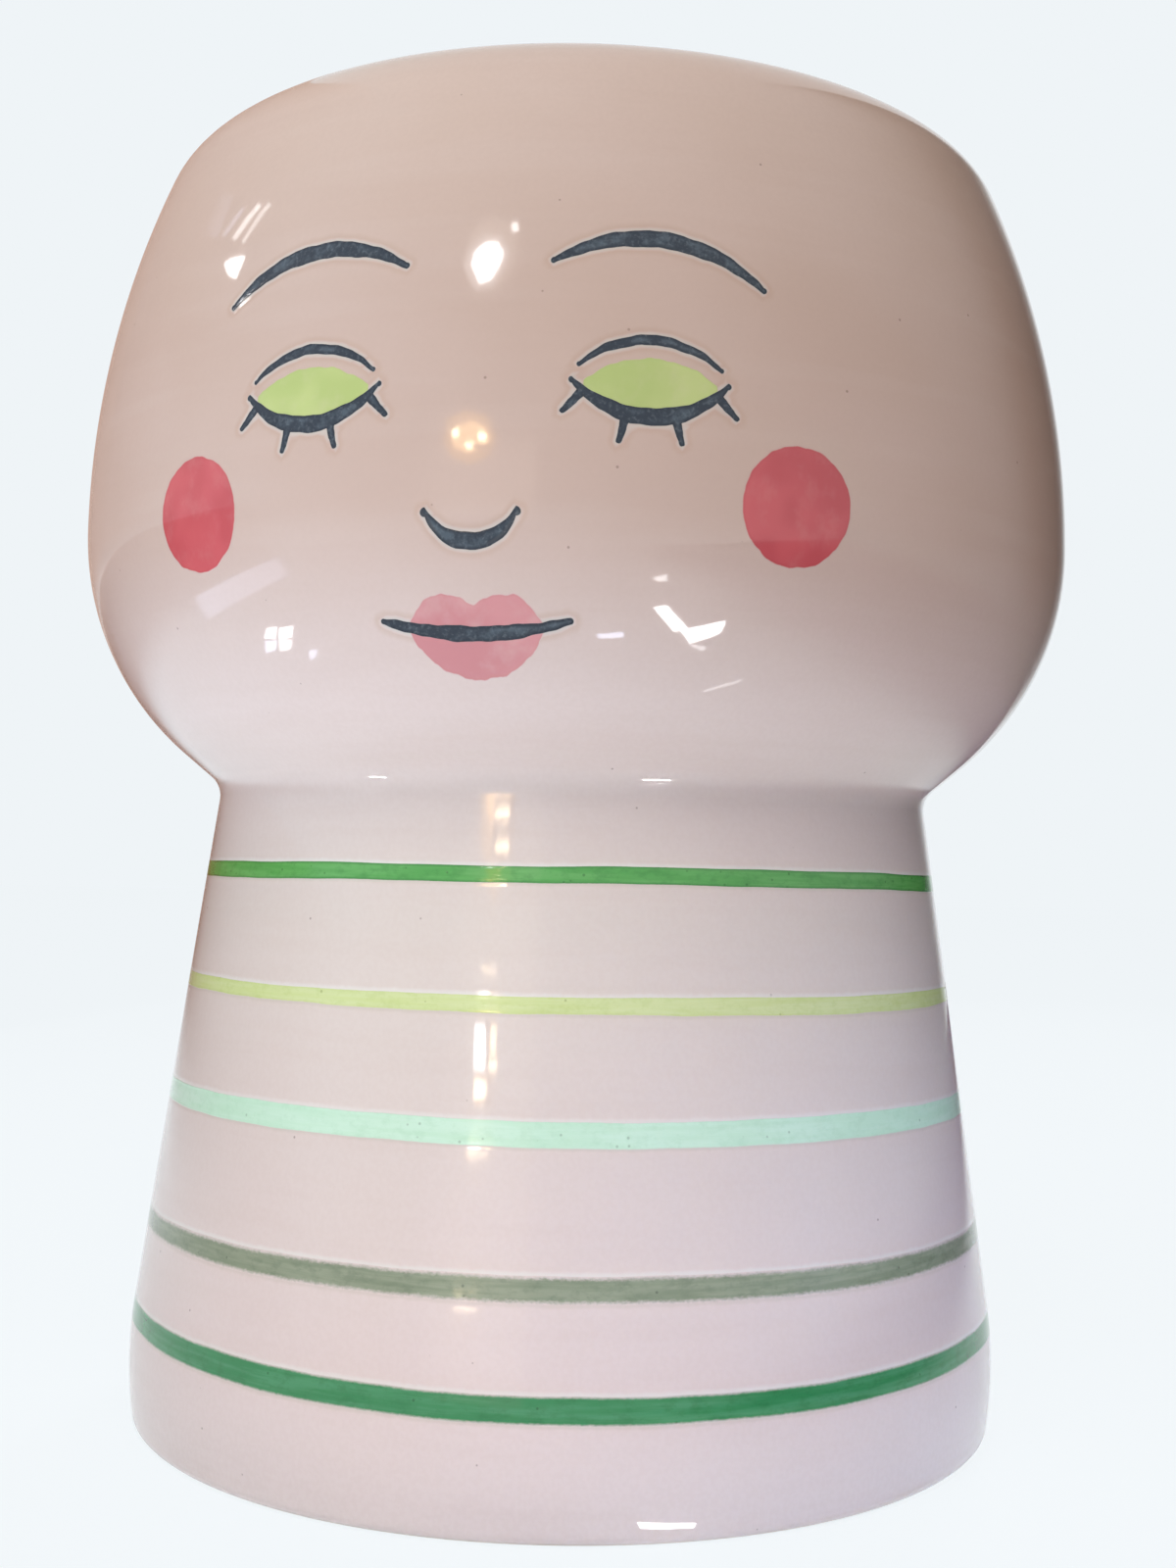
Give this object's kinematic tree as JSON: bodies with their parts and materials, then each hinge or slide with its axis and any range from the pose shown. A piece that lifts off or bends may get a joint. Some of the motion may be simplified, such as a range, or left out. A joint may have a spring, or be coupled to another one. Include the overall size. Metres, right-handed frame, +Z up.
{
  "type": "face vase",
  "caption": "Two-bodied ceramic vase: a banded conical trunk carries a wide rounded open head with a calm inlaid face.",
  "frame": {"origin": "centre of the foot ring, on the surface that the vase stands on", "axes": "+Z up along the turning axis; the face looks along -Y; +X is to the right of someone who looks at the face"},
  "size_m": [0.1744, 0.1744, 0.22],
  "materials": {
    "pink_slip_glazed": "pink slip under a clear gloss glaze",
    "waist_slip": "the same pink slip, smoothed by finger, clear gloss glaze",
    "leaf_green_slip": "leaf green slip under clear gloss glaze",
    "lime_slip": "lime slip under clear gloss glaze",
    "mint_slip": "mint slip under clear gloss glaze",
    "sage_slip": "sage grey slip, mottled, under clear gloss glaze",
    "forest_green_slip": "forest green slip under clear gloss glaze",
    "slate_slip": "slate blue slip under clear gloss glaze",
    "coral_slip": "coral slip, brushed unevenly, under clear gloss glaze",
    "rose_slip": "thin rose slip under clear gloss glaze"
  },
  "bodies": {
    "root": {"trunk": "pink_slip_glazed", "head": "pink_slip_glazed", "waist_slip_joint": "waist_slip", "band_leaf_green": "leaf_green_slip", "band_lime": "lime_slip", "band_mint": "mint_slip", "band_sage": "sage_slip", "band_forest_green": "forest_green_slip", "nose_line": "slate_slip", "mouth_line": "slate_slip", "upper_lip": "rose_slip", "lower_lip": "rose_slip", "brow_left": "slate_slip", "lash_line_left": "slate_slip", "lid_crease_left": "slate_slip", "eyelid_left": "lime_slip", "cheek_left": "coral_slip", "brow_right": "slate_slip", "lash_line_right": "slate_slip", "lid_crease_right": "slate_slip", "eyelid_right": "lime_slip", "cheek_right": "coral_slip"}
  },
  "joints": []
}
